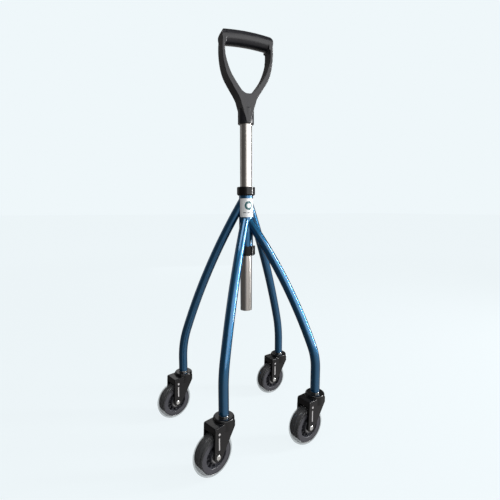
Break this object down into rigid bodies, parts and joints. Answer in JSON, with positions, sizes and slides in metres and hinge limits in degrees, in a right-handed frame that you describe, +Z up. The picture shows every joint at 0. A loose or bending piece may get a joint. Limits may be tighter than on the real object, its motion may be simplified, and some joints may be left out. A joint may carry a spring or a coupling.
{
  "type": "four-wheeled walking cane",
  "caption": "Walking cane with a D-shaped handle on a height-adjustable mast, carried by splayed bent-tube legs on swivel castors.",
  "frame": {"origin": "middle of the base at floor level (bottom centre of the bounding box); the mast's axis stands a little to the -X side of it", "axes": "+Z up along the mast; +Y the way the cane is walked, along the handle's grip; +X towards the narrow pair of legs, the way the label faces"},
  "size_m": [0.2538, 0.3336, 0.8263],
  "materials": {
    "mast_aluminium": "satin anodised",
    "handle_plastic": "moulded satin black",
    "black_plastic": "moulded black",
    "castor_nylon": "moulded black nylon",
    "blue_paint": "gloss metallic blue powder coat",
    "label_film": "printed white film",
    "silver_print": "bright printed strip",
    "zinc_steel": "bright zinc plate",
    "bearing_steel": "ground steel",
    "core_plastic": "moulded black polypropylene",
    "tyre_polyurethane": "smoky translucent polyurethane"
  },
  "bodies": {
    "frame": {"head_tube": "blue_paint", "lower_bush": "black_plastic", "collet": "black_plastic", "label": "label_film", "leg_inserts": "black_plastic", "stem_washers": "zinc_steel", "front_right_leg": "blue_paint", "rear_right_leg": "blue_paint", "front_left_leg": "blue_paint", "rear_left_leg": "blue_paint", "front_right_castor_stem": "zinc_steel", "rear_right_castor_stem": "zinc_steel", "front_left_castor_stem": "zinc_steel", "rear_left_castor_stem": "zinc_steel"},
    "collar": {"locking_collar": "black_plastic"},
    "mast": {"mast_tube": "mast_aluminium", "d_handle": "handle_plastic", "handle_screw": "zinc_steel"},
    "front_right_castor": {"front_right_fork": "castor_nylon", "front_right_swivel_bearing": "bearing_steel", "front_right_fork_inlays": "silver_print", "front_right_axle_bolt": "zinc_steel", "front_right_axle_nut": "zinc_steel"},
    "front_right_wheel": {"front_right_wheel_core": "core_plastic", "front_right_tyre": "tyre_polyurethane", "front_right_wheel_bearings": "bearing_steel", "front_right_bearing_spacer": "zinc_steel"},
    "rear_right_castor": {"rear_right_fork": "castor_nylon", "rear_right_swivel_bearing": "bearing_steel", "rear_right_fork_inlays": "silver_print", "rear_right_axle_bolt": "zinc_steel", "rear_right_axle_nut": "zinc_steel"},
    "rear_right_wheel": {"rear_right_wheel_core": "core_plastic", "rear_right_tyre": "tyre_polyurethane", "rear_right_wheel_bearings": "bearing_steel", "rear_right_bearing_spacer": "zinc_steel"},
    "front_left_castor": {"front_left_fork": "castor_nylon", "front_left_swivel_bearing": "bearing_steel", "front_left_fork_inlays": "silver_print", "front_left_axle_bolt": "zinc_steel", "front_left_axle_nut": "zinc_steel"},
    "front_left_wheel": {"front_left_wheel_core": "core_plastic", "front_left_tyre": "tyre_polyurethane", "front_left_wheel_bearings": "bearing_steel", "front_left_bearing_spacer": "zinc_steel"},
    "rear_left_castor": {"rear_left_fork": "castor_nylon", "rear_left_swivel_bearing": "bearing_steel", "rear_left_fork_inlays": "silver_print", "rear_left_axle_bolt": "zinc_steel", "rear_left_axle_nut": "zinc_steel"},
    "rear_left_wheel": {"rear_left_wheel_core": "core_plastic", "rear_left_tyre": "tyre_polyurethane", "rear_left_wheel_bearings": "bearing_steel", "rear_left_bearing_spacer": "zinc_steel"}
  },
  "joints": [
    {"name": "collar_twist", "type": "hinge", "parent": "frame", "child": "collar", "pos_m": [-0.03001, 0.02195, 0.51], "axis": [0, 0, 1], "range_deg": [0, 120]},
    {"name": "mast_slide", "type": "slide", "parent": "frame", "child": "mast", "axis": [0, 0, 1], "range_m": [-0.12, 0.12]},
    {"name": "front_right_swivel", "type": "hinge", "parent": "frame", "child": "front_right_castor", "pos_m": [0.09506, 0.12108, 0.09], "axis": [0, 0, 1], "continuous": true},
    {"name": "front_right_roll", "type": "hinge", "parent": "front_right_castor", "child": "front_right_wheel", "pos_m": [0.10073, 0.09551, 0.04], "axis": [0.9763, 0.2164, 0], "continuous": true},
    {"name": "rear_right_swivel", "type": "hinge", "parent": "frame", "child": "rear_right_castor", "pos_m": [0.09506, -0.07719, 0.09], "axis": [0, 0, 1], "continuous": true},
    {"name": "rear_right_roll", "type": "hinge", "parent": "rear_right_castor", "child": "rear_right_wheel", "pos_m": [0.10394, -0.10184, 0.04], "axis": [0.9409, 0.3387, 0], "continuous": true},
    {"name": "front_left_swivel", "type": "hinge", "parent": "frame", "child": "front_left_castor", "pos_m": [-0.10742, 0.14727, 0.09], "axis": [0, 0, 1], "continuous": true},
    {"name": "front_left_roll", "type": "hinge", "parent": "front_left_castor", "child": "front_left_wheel", "pos_m": [-0.1026, 0.12152, 0.04], "axis": [0.9829, 0.184, 0], "continuous": true},
    {"name": "rear_left_swivel", "type": "hinge", "parent": "frame", "child": "rear_left_castor", "pos_m": [-0.10742, -0.10337, 0.09], "axis": [0, 0, 1], "continuous": true},
    {"name": "rear_left_roll", "type": "hinge", "parent": "rear_left_castor", "child": "rear_left_wheel", "pos_m": [-0.0988, -0.12812, 0.04], "axis": [0.9444, 0.3289, 0], "continuous": true}
  ]
}
